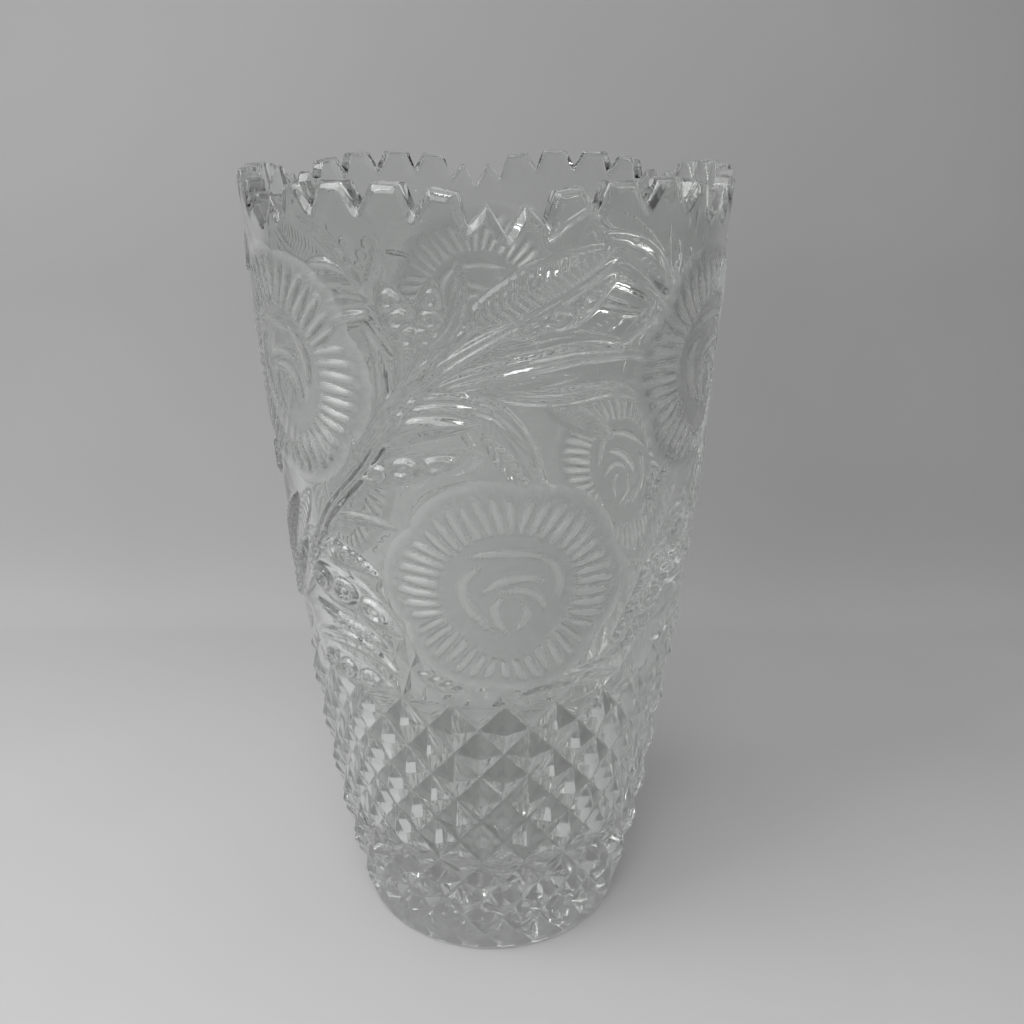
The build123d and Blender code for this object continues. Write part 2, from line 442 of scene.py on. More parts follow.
@dataclass(frozen=True)
class Rose:
    """A frosted rose: a swirled centre in a collar of ribs, on broad smooth outer petals.

    Args:
        name: name of its pieces, before the number.
        angle: angle of the first rose, in degrees.
        share: height of its centre, as a share of the vase's height.
        disc: radius of the smooth centre, in millimetres.
        ribs_end: radius where the ribs stop, in millimetres.
        outline: mean radius of the petals' outer edge, in millimetres.
        petals: outer petals.
        ribs: ribs on each outer petal.
        seam: angle of one gap between outer petals, in degrees.
        breadth: how much broader than tall it is.
        drop: how far the collar's centre is below the swirl's, in millimetres.
    """

    name: str
    angle: float
    share: float
    disc: float = 17.6
    ribs_end: float = 30.4
    outline: float = 33.0
    petals: int = 6
    ribs: int = 7
    seam: float = 84.0
    breadth: float = 1.09
    drop: float = 2.0

    # Inner petals: middle line through three points about the centre, and greatest width, in mm.
    SWIRL = (
        (((-12.0, 8.9), (0.0, 10.2), (9.5, 8.4)), 3.6),
        (((8.5, 9.0), (13.8, 3.5), (14.5, -5.0)), 4.4),
        (((-8.2, 5.5), (-12.6, -3.3), (-2.7, -15.4)), 5.0),
        (((-7.0, -1.8), (1.5, 2.4), (10.5, 1.4)), 3.8),
        (((-1.6, -2.0), (6.5, -2.2), (11.0, -9.0)), 3.6),
        (((-1.5, -3.5), (-3.8, -8.5), (0.0, -15.0)), 4.2),
        (((3.6, -5.0), (5.4, -9.0), (2.6, -13.6)), 3.2),
    )
    SWIRL_RISE = 0.40                # height of an inner petal above the dome
    SWIRL_STEPS = 19                 # places tried along each inner petal
    DOME = (0.22, 0.12)              # height of the centre's edge, and what its middle adds
    HEART = (0.24, 28.0)             # how much the centre is drawn out downwards, over what angle
    SCALLOP = (2.4, 3.0, 0.6)        # each outer petal: notch and bow in mm, and its roundness
    RIB_SCALLOP = (3.2, 0.7)         # the same for the ribs: notch and bow in mm, and roundness
    RIB_RISE = 0.60
    RIB_BOW = 0.06                   # how far ribs lean outwards, as a share of the petal
    SEAM_WIDTH = 0.06                # width of the gap between petals, as a share of the petal
    PETAL_RISE = 0.26                # height of the smooth petals
    FROST_EDGE = 3.0                 # width over which the frost fades out, in mm
    LEAST = 0.001                    # least rise, so that no part is taken for bare wall

    def press(self, relief: ReliefMap, turn: int) -> None:
        """Raises the rose on the relief map, a third of the way round for each turn.

        Args:
            relief: the map to press into.
            turn: which copy this is, from 0.
        """
        z = self.share * relief.form.height
        found = relief.window(self.angle + turn * THIRD, z, (self.outline + 4) * MM)
        if found is None:
            return
        index, x, y = found
        x, y = x / MM, y / MM
        broad, low = x / self.breadth, y + self.drop
        bearing = np.degrees(np.arctan2(low, broad))
        drawn, spread = self.HEART
        disc_edge = self.disc * (1 + drawn * np.exp(-((bearing + 90) / spread) ** 2))
        reach = np.hypot(broad, low)
        petal = FULL_TURN / self.petals
        within = ((bearing - self.seam) % petal) / petal
        notch, bow, roundness = self.SCALLOP
        edge = self.outline - notch + bow * np.sin(np.pi * within) ** roundness
        rise = np.where(reach < disc_edge, self.centre(x, y, reach, disc_edge),
                        self.ruffle(reach, within, disc_edge, edge))
        # frosting grows with height, so the tone ramp paints a highlight on raised crests and paints
        # shade in the hollows
        crest_frost_and_light = 0.5 + 0.5 * smooth((rise - 0.3) / 0.45)
        frost_and_light = smooth((edge - reach) / self.FROST_EDGE) * crest_frost_and_light
        name = f"{self.name}_{turn + 1}"
        relief.stamp(index, np.maximum(rise, self.LEAST), reach < edge, name, frost_and_light)

    def ruffle(self, reach: np.ndarray, within: np.ndarray, start: np.ndarray,
               edge: np.ndarray) -> np.ndarray:
        """Height of the ribbed collar and the smooth petals beyond it.

        Args:
            reach: distance from the rose's centre, in millimetres.
            within: place across the petal, from 0 to 1.
            start: radius where the collar starts.
            edge: the outline's radius here.

        Returns:
            The height at each point, from 0 to 1.
        """
        bow, roundness = self.RIB_SCALLOP
        end = self.ribs_end - bow + bow * np.sin(np.pi * within) ** roundness
        t = np.clip((reach - start) / (end - start), 0, 1)
        bowed = within + self.RIB_BOW * (t - 0.5) * np.sign(within - 0.5)
        rib = np.sin(np.pi * bowed * self.ribs) ** 2
        swell = np.sin(np.pi * t) ** 0.45
        seam = smooth(np.minimum(within, 1 - within) / self.SEAM_WIDTH)
        petal = self.PETAL_RISE * np.clip((edge - reach) / (edge - start), 0, 1) ** 0.7
        return petal + self.RIB_RISE * rib * swell * (0.2 + 0.8 * seam)

    def centre(self, x: np.ndarray, y: np.ndarray, reach: np.ndarray,
               edge: np.ndarray) -> np.ndarray:
        """Height of the swirled centre.

        Args:
            x: distance to the right of the centre, in millimetres.
            y: distance above the centre, in millimetres.
            reach: distance from the centre, in millimetres.
            edge: the centre's radius here.

        Returns:
            The height at each point, from 0 to 1.
        """
        low, crown = self.DOME
        height = low + crown * np.clip(1 - (reach / edge) ** 2, 0, 1) ** 0.5
        for (start, through, end), width in self.SWIRL:
            start, through, end = map(np.array, (start, through, end))
            bend = 2 * through - 0.5 * (start + end)
            best = np.full(x.shape, np.inf)
            place = np.zeros(x.shape)
            for t in np.linspace(0, 1, self.SWIRL_STEPS):
                point = (1 - t) ** 2 * start + 2 * t * (1 - t) * bend + t ** 2 * end
                distance = np.hypot(x - point[0], y - point[1])
                closer = distance < best
                best, place = np.where(closer, distance, best), np.where(closer, t, place)
            half = width / 2 * np.sqrt(np.clip(np.sin(np.pi * place), 0.05, 1))
            height = height + self.SWIRL_RISE * smooth((half - best) / half)
        return np.clip(height, 0, 1)


# The strokes of one leaf spray, each from root to tip: the stem first, then blades and leaves.
SPRAY: tuple[Blade, ...] = (
    # stem, and the strands that part from it
    Blade(((-58, 0.565), (-48.6, 0.63), (-43.6, 0.66), (-33.6, 0.708), (-23.6, 0.773),
           (-13.6, 0.822), (-3.6, 0.853), (6.4, 0.878), (16.4, 0.905), (24.4, 0.93)),
          5.4, 1.0, Cut.REEDED, root=0.25, tip=0.5),
    Blade(((-38, 0.70), (-28, 0.768), (-19, 0.815), (-11, 0.848), (-5, 0.880), (-3, 0.905)),
          4.2, 0.9, Cut.REEDED),
    Blade(((-24, 0.79), (-17, 0.832), (-11, 0.868), (-9, 0.905), (-10, 0.935)),
          5.0, 0.75, Cut.REEDED),
    # feather leaf over the stem, and the eyed leaf under it
    Blade(((-9, 0.866), (1.4, 0.893), (11.4, 0.917), (23.4, 0.942)), 11.0, 0.8, Cut.FEATHER, 2.3),
    Blade(((-1.6, 0.856), (6.4, 0.867), (14.4, 0.88), (23.4, 0.912)), 8.5, 0.75, Cut.EYED),
    # long ribbons to the right
    Blade(((-12, 0.822), (-4, 0.840), (6, 0.848), (16, 0.853), (31, 0.838)), 4.4, 1.0, Cut.HOLLOW),
    Blade(((-17, 0.798), (-7, 0.815), (6, 0.829), (17, 0.835), (29, 0.830), (35, 0.815)),
          5.8, 1.0, Cut.REEDED),
    Blade(((-15, 0.792), (-4, 0.800), (6, 0.809), (18, 0.814)), 4.8, 0.85, Cut.HOLLOW),
    Blade(((-4, 0.797), (11, 0.793), (24, 0.795), (34, 0.775)), 5.4, 0.8, Cut.REEDED),
    Blade(((8, 0.788), (16, 0.768), (25, 0.742)), 7.0, 0.55, Cut.FEATHER, 3.2),
    # curled ribbon and its hook
    Blade(((-31, 0.750), (-23.6, 0.777), (-13.6, 0.790), (-3.6, 0.784), (2, 0.762), (6.4, 0.733)),
          5.8, 1.0, Cut.REEDED, root=0.5, tip=0.4),
    Blade(((6.0, 0.742), (6.8, 0.722), (7.0, 0.700)), 2.4, 0.9, Cut.KEELED, root=0.3),
    # spear leaves between the curled ribbon and the low rose
    Blade(((-31, 0.733), (-22, 0.755), (-13, 0.764), (-5.6, 0.766)), 7.0, 0.85, Cut.KEELED),
    Blade(((-38, 0.693), (-25, 0.711), (-14, 0.722), (-7, 0.735)), 7.5, 0.8, Cut.EYED),
    # short glossy blade over the broad leaves
    Blade(((-51, 0.612), (-41.6, 0.640), (-33.6, 0.646), (-24.6, 0.640)), 3.8, 1.0, Cut.HOLLOW),
    # blades that curve up beside the high rose
    Blade(((-29, 0.748), (-27, 0.790), (-27.5, 0.830), (-31, 0.865)), 4.4, 0.8, Cut.REEDED),
    Blade(((-24.5, 0.77), (-22.5, 0.81), (-23, 0.85)), 3.4, 0.7, Cut.HOLLOW),
    Blade(((-46, 0.66), (-38, 0.705), (-36, 0.73), (-37, 0.75)), 4.0, 0.6, Cut.KEELED),
    # diamond-shaped leaf with rings, and the blades that fan out beyond it
    Blade(((-19, 0.838), (-22, 0.868), (-26, 0.908)), 10.0, 0.85, Cut.EYED),
    Blade(((-18, 0.840), (-15.5, 0.870), (-15, 0.912)), 8.5, 0.75, Cut.EYED),
    Blade(((-30, 0.900), (-36, 0.930), (-42, 0.953), (-49, 0.965)), 4.4, 1.0, Cut.HOLLOW),
    Blade(((-30, 0.903), (-38, 0.906), (-48, 0.902)), 3.6, 1.0, Cut.HOLLOW),
    Blade(((-29, 0.887), (-36, 0.884), (-43, 0.872)), 3.4, 1.0, Cut.HOLLOW),
    Blade(((-29, 0.876), (-36, 0.868), (-41, 0.855)), 2.8, 0.9, Cut.KEELED),
    Blade(((-33, 0.912), (-38, 0.922), (-45, 0.918)), 3.0, 0.9, Cut.KEELED),
    Blade(((-29, 0.905), (-26, 0.930), (-27, 0.958)), 3.6, 0.9, Cut.HOLLOW),
    # blade beside the next high rose
    Blade(((38, 0.885), (32.4, 0.920), (26.4, 0.938), (19, 0.950)), 7.5, 1.0, Cut.KEELED),
    Blade(((25, 0.84), (31, 0.86), (35, 0.885)), 3.6, 0.8, Cut.HOLLOW),
    # broad leaves at the left of the low rose
    Blade(((-60, 0.605), (-49, 0.598), (-38, 0.588), (-31, 0.575)), 7.5, 0.7, Cut.FEATHER, 3.2),
    Blade(((-62, 0.552), (-50, 0.548), (-38.6, 0.540), (-27, 0.503)), 12.5, 1.0, Cut.EYED),
    Blade(((-63, 0.462), (-48.6, 0.477), (-38, 0.474), (-28, 0.446)), 5.6, 1.0, Cut.HOLLOW),
    Blade(((-62, 0.432), (-48, 0.436), (-38, 0.433), (-31, 0.430)), 9.5, 1.0, Cut.EYED),
    Blade(((-60, 0.512), (-50, 0.505), (-38, 0.495), (-30, 0.476)), 5.0, 0.8, Cut.REEDED),
    Blade(((-24, 0.460), (-18, 0.448), (-10, 0.440)), 5.0, 0.6, Cut.FACETED, 4.0),
    # leaves that sweep down at the right of the low rose
    Blade(((58, 0.645), (46, 0.580), (38, 0.525), (30, 0.475)), 9.0, 0.85, Cut.FEATHER, 2.8),
    Blade(((60, 0.590), (50, 0.540), (42, 0.500), (33, 0.458)), 8.0, 0.9, Cut.FACETED, 4.5),
    Blade(((4, 0.433), (11, 0.435), (20, 0.441)), 4.0, 1.0, Cut.HOLLOW),
    Blade(((19.5, 0.441), (27, 0.444), (35, 0.438)), 4.0, 1.0, Cut.HOLLOW),
    Blade(((12, 0.452), (28, 0.463), (42, 0.485), (54, 0.520)), 2.4, 0.9, Cut.KEELED),
    Blade(((40, 0.690), (38, 0.665), (42, 0.645)), 3.0, 0.7, Cut.KEELED),
    Blade(((46, 0.695), (41, 0.665), (37, 0.635)), 4.0, 0.7, Cut.FACETED, 3.0),
)

ROSES: tuple[Rose, ...] = (
    Rose("rose_low", 0.6, 0.580),
    Rose("rose_high", 180.0, 0.808),
)


@dataclass
class Skin:
    """The closed surface of the glass while it is being put together."""

    points: list[np.ndarray] = field(default_factory=list)
    faces: list[tuple[np.ndarray, np.ndarray]] = field(default_factory=list)
    names: list[str] = field(default_factory=lambda: [region.value for region in Region])
    count: int = 0

    def add_points(self, points: np.ndarray) -> np.ndarray:
        """Adds points.

        Args:
            points: coordinates, one row each.

        Returns:
            The new points' numbers.
        """
        self.points.append(np.asarray(points, dtype=float))
        start, self.count = self.count, self.count + len(points)
        return np.arange(start, self.count)

    def add_ring(self, angles: np.ndarray, radius: np.ndarray, z: np.ndarray) -> np.ndarray:
        """Adds a ring of points round the axis and returns their numbers.

        Args:
            angles: angles in degrees from the front.
            radius: one distance from the axis, or one for each point.
            z: one height, or one for each point.

        Returns:
            The new points' numbers.
        """
        a = np.radians(angles)
        radius, z = np.broadcast_to(radius, a.shape), np.broadcast_to(z, a.shape)
        return self.add_points(np.column_stack([radius * np.sin(a), -radius * np.cos(a), z]))

    def add_faces(self, faces: np.ndarray, owner: "str | np.ndarray") -> None:
        """Adds triangles or quads.

        Args:
            faces: point numbers, one row each.
            owner: the piece's name, or one number in names for each face.
        """
        faces = np.asarray(faces)
        if isinstance(owner, str):
            owner = np.full(len(faces), self.names.index(owner))
        self.faces.append((faces, np.asarray(owner)))

    def band(self, lower: np.ndarray, upper: np.ndarray, owner: "str | np.ndarray") -> None:
        """Joins two rings with the same number of points by quads that face outwards."""
        self.add_faces(np.column_stack([lower, np.roll(lower, -1), np.roll(upper, -1), upper]), owner)

    def chain(self, rings: list[np.ndarray], owner: str) -> np.ndarray:
        """Joins each ring to the next by quads, and returns the last ring."""
        for first, second in zip(rings, rings[1:]):
            self.band(first, second, owner)
        return rings[-1]

    def stitch(self, first: np.ndarray, second: np.ndarray, owner: str) -> None:
        """Joins two rings with different numbers of points by triangles that face outwards.

        Args:
            first: the ring that comes first, as lower does in band.
            second: the other ring.
            owner: name of the piece that gets the faces.
        """
        points = self.all_points()
        orders, turns = [], []
        for ring in (first, second):
            turn = np.degrees(np.arctan2(points[ring, 0], -points[ring, 1])) % FULL_TURN
            order = np.argsort(turn)
            orders.append(np.append(ring[order], ring[order[0]]))
            turns.append(np.append(turn[order], turn[order[0]] + FULL_TURN))
        (low, high), (low_turn, high_turn) = orders, turns
        i = j = 0
        triangles = []
        while i < len(first) or j < len(second):
            if j == len(second) or (i < len(first) and low_turn[i + 1] <= high_turn[j + 1]):
                triangles.append((low[i], low[i + 1], high[j]))
                i += 1
            else:
                triangles.append((low[i], high[j + 1], high[j]))
                j += 1
        self.add_faces(np.array(triangles), owner)

    def cap(self, ring: np.ndarray, centre: np.ndarray, owner: str, upward: bool) -> None:
        """Closes a ring with triangles to one point.

        Args:
            ring: the ring's point numbers.
            centre: the point.
            owner: name of the piece that gets the faces.
            upward: True if the faces look up.
        """
        middle = np.repeat(self.add_points(centre[None, :]), len(ring))
        triangles = np.column_stack([middle, ring, np.roll(ring, -1)])
        self.add_faces(triangles if upward else triangles[:, ::-1], owner)

    def all_points(self) -> np.ndarray:
        """Every point, one row each."""
        return np.vstack(self.points)

    def normals(self) -> np.ndarray:
        """The normal at each point, weighted by area, so flat facets stay flat to their edges."""
        points = self.all_points()
        total = np.zeros_like(points)
        for faces, _ in self.faces:
            a, b = points[faces[:, 0]], points[faces[:, 1]]
            c, d = points[faces[:, 2]], points[faces[:, -1]]
            normal = np.cross(c - a, d - b)
            size = np.linalg.norm(normal, axis=1, keepdims=True)
            for corner in faces.T:
                np.add.at(total, corner, normal * size)
        return total / np.maximum(np.linalg.norm(total, axis=1, keepdims=True), 1e-20)


@dataclass(frozen=True)
class DiamondLattice:
    """The diamond-cut foot and band: four-sided points between diagonal grooves.

    Places on it are written as columns round the vase and rows down from its top. Points stand
    where column plus row is odd and grooves cross where it is even.

    Args:
        form: the vase's profile.
        top: height of the first row.
        bottom: height of the last row.
        around: diamonds in one row.
        rows: spaces between the first row and the last.
        depth: from a point to the groove beside it.
        groove: half the width of a groove, as a share of a facet.
        ridge: half the width of a polished ridge, as a share of a column.
        plain: reach of the plain wall between the uppermost grooves, as a share of a column.
    """

    form: VaseForm
    top: float
    bottom: float = 5.85 * MM
    around: int = 24
    rows: int = 11
    depth: float = 2.9 * MM
    groove: float = 0.07
    ridge: float = 0.03
    plain: float = 0.60

    TOLERANCE = 0.001            # for places that rounding has moved

    def point(self, column: float, row: float) -> tuple[float, float, float]:
        """Where a place on the lattice lies in space.

        Args:
            column: place round the vase, in half diamonds from the front.
            row: place down from the top, in rows.

        Returns:
            Coordinates in metres.
        """
        z = self.top - (self.top - self.bottom) * row / self.rows
        nearest = min(
            abs(column - i) + abs(row - j)
            for i in (math.floor(column), math.floor(column) + 1)
            for j in (math.floor(row), math.floor(row) + 1)
            if (i + j) % 2
        )
        radius = float(self.form.envelope(z)) - self.depth * min(nearest, 1.0)
        aside = abs((column % 2) - 1)
        if row < 1 - aside and row + aside < self.plain + self.TOLERANCE:
            radius = float(self.form.clear_wall(z))
        a = math.radians(column * HALF_TURN / self.around)
        return radius * math.sin(a), -radius * math.cos(a), z

    def polygons(self) -> Iterable[list[tuple[float, float]]]:
        """Every polygon of the lattice, as places that run anticlockwise seen from outside."""
        c, w = self.ridge, self.groove
        inner = 1 - w - c
        for i in range(2 * self.around):
            for j in range(self.rows + 1):
                if (i + j) % 2:
                    yield from self.diamond(i, j, inner)
                elif j == 0:
                    yield [(i - w - c, c), (i - c, w + c), (i + c, w + c), (i + w + c, c)]
                elif j == self.rows:
                    yield [(i - w - c, j - c), (i + w + c, j - c), (i + c, j - w - c),
                           (i - c, j - w - c)]
                else:
                    yield [(i - w - c, j - c), (i - w - c, j + c), (i - c, j + w + c),
                           (i + c, j + w + c), (i + w + c, j + c), (i + w + c, j - c),
                           (i + c, j - w - c), (i - c, j - w - c)]
                if j < self.rows:
                    yield self.groove_strip(i, j)

    def groove_strip(self, i: int, j: int) -> list[tuple[float, float]]:
        """The bottom of the groove through one cell.

        Args:
            i: column at the cell's left.
            j: row at its top.

        Returns:
            One polygon.
        """
        c, w = self.ridge, self.groove
        if (i + j) % 2 == 0:
            return [(i + w + c, j + c), (i + c, j + w + c), (i + 1 - w - c, j + 1 - c),
                    (i + 1 - c, j + 1 - w - c)]
        return [(i + 1 - w - c, j + c), (i + c, j + 1 - w - c), (i + w + c, j + 1 - c),
                (i + 1 - c, j + w + c)]

    @staticmethod
    def both_sides(column: int, *shapes: list[tuple[float, float]]) -> Iterable[list]:
        """Polygons written as distances from a column and rows, at its left and at its right.

        Args:
            column: the column.
            shapes: each polygon at its left, as distances from it and rows.

        Returns:
            The polygons at the left, and then their mirror images at the right.
        """
        for side in (-1, 1):
            for shape in shapes:
                places = [(column + side * across, row) for across, row in shape]
                yield places if side < 0 else places[::-1]

    def diamond(self, i: int, j: int, inner: float) -> Iterable[list[tuple[float, float]]]:
        """The facets and ridges round one point; those in the first and last rows are cut off.

        Args:
            i: the point's column.
            j: the point's row.
            inner: reach of a facet from the point, as a share of a column.

        Returns:
            Polygons that run anticlockwise seen from outside.
        """
        c = self.ridge
        if j == 0:
            reach = self.plain - c
            yield from self.both_sides(i, [(reach, c), (inner, c), (c, inner), (c, reach)])
            yield [(i - c, reach), (i - c, inner), (i + c, inner), (i + c, reach)]
            yield [(i - reach, c), (i - c, reach), (i + c, reach), (i + reach, c)]
            return
        yield from self.both_sides(i, [(c, j - inner), (inner, j - c), (c, j - c)])
        yield [(i - c, j - inner), (i - c, j - c), (i + c, j - c), (i + c, j - inner)]
        if j == self.rows:
            return
        yield from self.both_sides(i, [(c, j + c), (inner, j + c), (c, j + inner)],
                                   [(c, j - c), (inner, j - c), (inner, j + c), (c, j + c)])
        yield [(i - c, j + c), (i - c, j + inner), (i + c, j + inner), (i + c, j + c)]
        yield [(i - c, j - c), (i - c, j + c), (i + c, j + c), (i + c, j - c)]

    def build(self, skin: Skin, boundary: float) -> tuple[np.ndarray, np.ndarray]:
        """Adds the faceted surface.

        Args:
            skin: the surface to add to.
            boundary: height that divides the base from the diamond band.

        Returns:
            The points along the top of the lattice and along the bottom.
        """
        numbers: dict[tuple[float, float], int] = {}
        places: list[tuple[float, float, float]] = []
        sorted_faces: dict[tuple[int, str], list[list[int]]] = {}
        for polygon in self.polygons():
            corners = []
            for column, row in polygon:
                key = (round(column % (2 * self.around), 6) % (2 * self.around), round(row, 6))
                if key not in numbers:
                    numbers[key] = len(places)
                    places.append(self.point(*key))
                corners.append(numbers[key])
            height = sum(places[corner][2] for corner in corners) / len(corners)
            region = Region.BASE if height < boundary else Region.DIAMONDS
            sorted_faces.setdefault((len(corners), region.value), []).append(corners)
        added = skin.add_points(np.array(places))
        for (_, name), faces in sorted_faces.items():
            skin.add_faces(added[np.array(faces)], name)
        first = [added[n] for (_, row), n in numbers.items() if row == round(self.ridge, 6)]
        last = [added[n] for (_, row), n in numbers.items() if row == round(self.rows - self.ridge, 6)]
        return np.array(first), np.array(last)


@dataclass
class CrystalVase:
    """The whole vase: puts the skin together and divides it into pieces.

    Args:
        form: the vase's profile.
        columns: points round the flower wall.
        row_pitch: height of one row of the flower wall.
        rim_rows: rows between the rim's boundary and its edge.
        cavity_columns: points round the smooth cavity.
        cavity_pitch: height of one row of the cavity.
        edge_round: width of the polished edge of the teeth.
        lattice_drop: height of the plain strip over the diamonds.
        relief_start: height over which the relief begins above the diamonds.
        corner_rows: rows round the cavity's rounded corner.
        joint_drop: height of the strip where the rim's columns meet the cavity's.
        foot_level: height at which the foot's radius is taken.
        foot_inset: how far the foot stands back from the diamonds there.
        foot_edge: profile of the foot's rounded edge, as height and inset in millimetres.
    """

    form: VaseForm
    columns: int = 720
    row_pitch: float = 0.55 * MM
    rim_rows: int = 16
    cavity_columns: int = 240
    cavity_pitch: float = 4.0 * MM
    edge_round: float = 0.55 * MM
    lattice_drop: float = 0.7 * MM
    relief_start: float = 1.2 * MM
    corner_rows: int = 12
    joint_drop: float = 1.0 * MM
    foot_level: float = 2.0 * MM
    foot_inset: float = 0.6 * MM
    foot_edge: tuple[tuple[float, float], ...] = ((2.4, 0.0), (1.2, 0.1), (0.35, 0.5), (0.0, 1.2))

    INNER_RIM_ROWS = (0.66, 0.33, 0.0)   # rows inside the rim, as shares of its height

    def __post_init__(self) -> None:
        """Reads the boundaries between regions from the frame."""
        self.diamond_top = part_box(Region.WALL.value)[0].z
        self.rim_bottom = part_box(Region.RIM.value)[0].z
        self.base_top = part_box(Region.BASE.value)[1].z
        self.angles = np.arange(self.columns) * FULL_TURN / self.columns
        self.inner_angles = np.arange(self.cavity_columns) * FULL_TURN / self.cavity_columns
        self.outline = RimOutline(self.form.height)
        self.skin = Skin()

    def build(self) -> Skin:
        """Puts the whole surface together.

        Returns:
            The closed skin, with every face marked with its piece.
        """
        rings, relief = self.flower_wall()
        lattice = DiamondLattice(self.form, self.diamond_top - self.lattice_drop)
        first, last = lattice.build(self.skin, self.base_top)
        self.skin.stitch(first, rings[0], Region.DIAMONDS.value)
        self.foot(last)
        inner_top = self.rim_edge(rings[-1])
        self.cavity(inner_top)
        self.frost_and_light = np.zeros(self.skin.count)
        self.frost_and_light[np.concatenate(rings)] = relief.frost_and_light.ravel()
        return self.skin

    def flower_wall(self) -> tuple[list[np.ndarray], ReliefMap]:
        """The outside from the diamonds to the rim's edge, raised by the relief.

        Returns:
            The rings of points from the bottom up, and the relief map.
        """
        count = round((self.rim_bottom - self.diamond_top) / self.row_pitch)
        rows = np.linspace(self.diamond_top, self.rim_bottom, count + 1)
        heights = np.repeat(rows[:, None], self.columns, axis=1)
        edge = self.outline.top(self.angles) - self.edge_round
        climb = np.linspace(0, 1, self.rim_rows + 1)[1:, None]
        heights = np.vstack([heights, self.rim_bottom + climb * (edge - self.rim_bottom)])
        relief = ReliefMap(self.form, self.angles, heights)
        for motifs in (SPRAY, ROSES):
            for turn in range(COPIES):
                for motif in motifs:
                    motif.press(relief, turn)
        base_fade = smooth((heights - self.diamond_top) / self.relief_start)
        radius = self.form.clear_wall(heights) + self.form.step(heights) * relief.rise * base_fade
        radius -= self.outline.bevel(self.angles[None, :], heights, self.form.rim_radius)
        rings = [self.skin.add_ring(self.angles, r, z) for r, z in zip(radius, heights)]
        self.skin.names += relief.names[1:]
        lookup = np.array([self.skin.names.index(name) for name in relief.names])
        rim = self.skin.names.index(Region.RIM.value)
        for row, (lower, upper) in enumerate(zip(rings, rings[1:])):
            owner = lookup[relief.owner[row]] if row < count else np.full(self.columns, rim)
            self.skin.band(lower, upper, owner)
        return rings, relief

    def foot(self, last: np.ndarray) -> None:
        """The rounded edge under the lowest diamonds, and the flat resting face.

        Args:
            last: points along the bottom of the diamonds.
        """
        outer = float(self.form.envelope(self.foot_level)) - self.foot_inset
        rings = [self.skin.add_ring(self.inner_angles, outer - back * MM, z * MM)
                 for z, back in self.foot_edge]
        self.skin.stitch(rings[0], last, Region.BASE.value)
        for upper, lower in zip(rings, rings[1:]):
            self.skin.band(lower, upper, Region.BASE.value)
        self.skin.cap(rings[-1], np.zeros(3), Region.BASE.value, upward=False)

    def rim_edge(self, outer: np.ndarray) -> np.ndarray:
        """The polished tops and sides of the teeth.

        Args:
            outer: the top ring of the outside.

        Returns:
            The top ring of the inside.
        """
        top = self.outline.top(self.angles)
        outside = self.form.clear_wall(top) - self.outline.bevel_depth
        inside = self.form.cavity(top)
        soft = self.edge_round
        return self.skin.chain([
            outer,
            self.skin.add_ring(self.angles, outside - soft, top),
            self.skin.add_ring(self.angles, inside + soft, top),
            self.skin.add_ring(self.angles, inside, top - soft),
        ], Region.RIM.value)

    def cavity_rings(self, angles: np.ndarray, heights: Iterable[np.ndarray]) -> list[np.ndarray]:
        """Adds rings of the cavity's wall at the given heights."""
        return [self.skin.add_ring(angles, self.form.cavity(z), z) for z in heights]

    def cavity(self, top: np.ndarray) -> None:
        """The smooth inside, from the rim's edge down to the middle of the floor.

        Args:
            top: the top ring of the inside.
        """
        skin, form = self.skin, self.form
        edge = self.outline.top(self.angles) - self.edge_round
        heights = [self.rim_bottom + share * (edge - self.rim_bottom) for share in self.INNER_RIM_ROWS]
        above = skin.chain([top, *self.cavity_rings(self.angles, heights)], Region.RIM.value)
        z = self.rim_bottom - self.joint_drop
        ring = skin.add_ring(self.inner_angles, form.cavity(z), z)
        skin.stitch(above, ring, Region.WALL.value)
        for stop, region in ((self.diamond_top, Region.WALL), (self.base_top, Region.DIAMONDS)):
            count = max(1, round((z - stop) / self.cavity_pitch))
            heights = np.linspace(z, stop, count + 1)[1:]
            rings = self.cavity_rings(self.inner_angles, heights)
            ring = skin.chain([ring, *rings], region.value)
            z = stop
        bend = form.floor + form.corner
        wall = float(form.cavity(bend))
        corner = [
            skin.add_ring(self.inner_angles, wall - form.corner * (1 - math.cos(turn)),
                          bend - form.corner * math.sin(turn))
            for turn in np.radians(np.linspace(0, 90, self.corner_rows + 1)[1:])
        ]
        ring = skin.chain([ring, *corner], Region.BASE.value)
        skin.cap(ring, np.array([0, 0, form.floor]), Region.BASE.value, upward=True)

    def pieces(self) -> dict[str, bpy.types.Object]:
        """Divides the finished skin into one object for each named piece.

        Returns:
            The objects by name.
        """
        points, normals = self.skin.all_points(), self.skin.normals()
        made = {}
        for number, name in enumerate(self.skin.names):
            faces = [rows[owner == number] for rows, owner in self.skin.faces]
            faces = [rows for rows in faces if len(rows)]
            used = np.unique(np.concatenate([rows.ravel() for rows in faces]))
            local = np.zeros(len(points), dtype=int)
            local[used] = np.arange(len(used))
            mesh = mesh_from_arrays(f"{name}_skin", points[used], [local[rows] for rows in faces])
            mesh.normals_split_custom_set_from_vertices(normals[used].tolist())
            frost_and_light = mesh.attributes.new("frost_and_light", "FLOAT", "POINT")
            frost_and_light.data.foreach_set("value", self.frost_and_light[used].astype(np.float32))
            made[name] = bpy.data.objects.new(f"crystal_{name}", mesh)
            bpy.context.scene.collection.objects.link(made[name])
        return made


